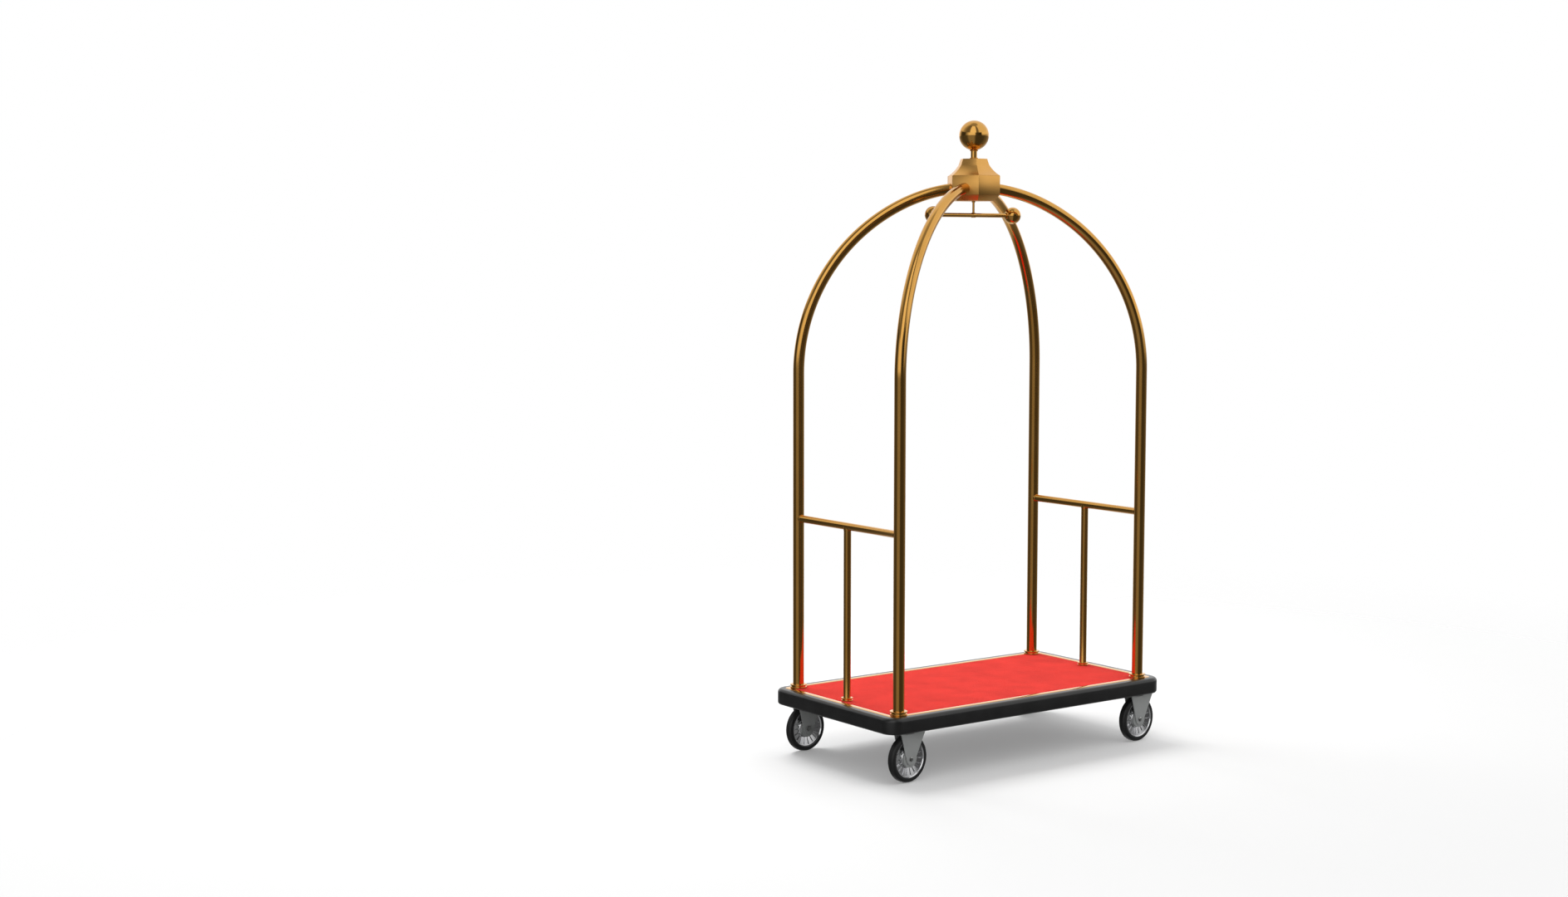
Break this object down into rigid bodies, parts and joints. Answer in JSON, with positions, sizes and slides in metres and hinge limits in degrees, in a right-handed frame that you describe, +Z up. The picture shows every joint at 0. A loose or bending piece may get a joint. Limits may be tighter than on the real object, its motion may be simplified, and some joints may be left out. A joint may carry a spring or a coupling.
{
  "type": "hotel luggage cart",
  "caption": "Birdcage luggage cart: carpeted deck with rubber bumper, bent brass tube arches meeting in a crown with ball finial and hanging bar, on swivel casters.",
  "frame": {"origin": "on the floor under the middle of the deck", "axes": "+X along the cart from rear to front, +Y across it to the left, +Z up"},
  "size_m": [1.08, 0.582, 1.9111],
  "materials": {
    "brass": "polished, lacquered",
    "satin_brass": "satin",
    "carpet": "short cut pile",
    "plywood": "raw birch plywood",
    "pan_steel": "black powder coat",
    "bumper_rubber": "satin, moulded",
    "tyre": "smooth, non-marking",
    "fork_steel": "grey enamel on pressed steel",
    "zinc_steel": "zinc plated",
    "aluminium": "die cast, polished"
  },
  "bodies": {
    "cart": {"deck_board": "plywood", "base_pan": "pan_steel", "carpet": "carpet", "trim_frame": "brass", "bumper": "bumper_rubber", "arch_tube_rear_right": "brass", "post_flange_rear_right": "brass", "arch_tube_rear_left": "brass", "post_flange_rear_left": "brass", "arch_tube_front_right": "brass", "post_flange_front_right": "brass", "arch_tube_front_left": "brass", "post_flange_front_left": "brass", "end_rail_rear": "brass", "centre_post_rear": "brass", "centre_flange_rear": "brass", "end_rail_front": "brass", "centre_post_front": "brass", "centre_flange_front": "brass", "crown_hub": "satin_brass", "crown_cap": "satin_brass", "finial_stem": "brass", "finial_ball": "brass", "hanger_rod": "brass", "hanger_bar": "brass", "hanger_balls": "brass", "post_plugs": "zinc_steel", "post_bolts": "zinc_steel", "pan_screws": "zinc_steel", "caster_bolts": "zinc_steel", "caster_nuts": "zinc_steel", "kingpins": "zinc_steel", "caster_plate_rear_right": "zinc_steel", "caster_plate_rear_left": "zinc_steel", "caster_plate_front_right": "zinc_steel", "caster_plate_front_left": "zinc_steel"},
    "caster_rear_right": {"fork_rear_right": "fork_steel", "swivel_race_rear_right": "zinc_steel", "axle_rear_right": "zinc_steel"},
    "wheel_rear_right": {"rim_rear_right": "aluminium", "tyre_rear_right": "tyre", "wheel_bearings_rear_right": "zinc_steel"},
    "caster_rear_left": {"fork_rear_left": "fork_steel", "swivel_race_rear_left": "zinc_steel", "axle_rear_left": "zinc_steel"},
    "wheel_rear_left": {"rim_rear_left": "aluminium", "tyre_rear_left": "tyre", "wheel_bearings_rear_left": "zinc_steel"},
    "caster_front_right": {"fork_front_right": "fork_steel", "swivel_race_front_right": "zinc_steel", "axle_front_right": "zinc_steel"},
    "wheel_front_right": {"rim_front_right": "aluminium", "tyre_front_right": "tyre", "wheel_bearings_front_right": "zinc_steel"},
    "caster_front_left": {"fork_front_left": "fork_steel", "swivel_race_front_left": "zinc_steel", "axle_front_left": "zinc_steel"},
    "wheel_front_left": {"rim_front_left": "aluminium", "tyre_front_left": "tyre", "wheel_bearings_front_left": "zinc_steel"}
  },
  "joints": [
    {"name": "swivel_rear_right", "type": "hinge", "parent": "cart", "child": "caster_rear_right", "pos_m": [-0.4575, -0.2473, 0.155], "axis": [0, 0, 1], "continuous": true},
    {"name": "wheel_spin_rear_right", "type": "hinge", "parent": "caster_rear_right", "child": "wheel_rear_right", "pos_m": [-0.44555, -0.24615, 0.07], "axis": [-0.0958, 0.9954, 0], "continuous": true},
    {"name": "swivel_rear_left", "type": "hinge", "parent": "cart", "child": "caster_rear_left", "pos_m": [-0.4575, 0.2473, 0.155], "axis": [0, 0, 1], "continuous": true},
    {"name": "wheel_spin_rear_left", "type": "hinge", "parent": "caster_rear_left", "child": "wheel_rear_left", "pos_m": [-0.44553, 0.24814, 0.07], "axis": [-0.0698, 0.9976, 0], "continuous": true},
    {"name": "swivel_front_right", "type": "hinge", "parent": "cart", "child": "caster_front_right", "pos_m": [0.4575, -0.2473, 0.155], "axis": [0, 0, 1], "continuous": true},
    {"name": "wheel_spin_front_right", "type": "hinge", "parent": "caster_front_right", "child": "wheel_front_right", "pos_m": [0.46947, -0.24646, 0.07], "axis": [-0.0698, 0.9976, 0], "continuous": true},
    {"name": "swivel_front_left", "type": "hinge", "parent": "cart", "child": "caster_front_left", "pos_m": [0.4575, 0.2473, 0.155], "axis": [0, 0, 1], "continuous": true},
    {"name": "wheel_spin_front_left", "type": "hinge", "parent": "caster_front_left", "child": "wheel_front_left", "pos_m": [0.4695, 0.2473, 0.07], "axis": [0, 1, 0], "continuous": true}
  ]
}
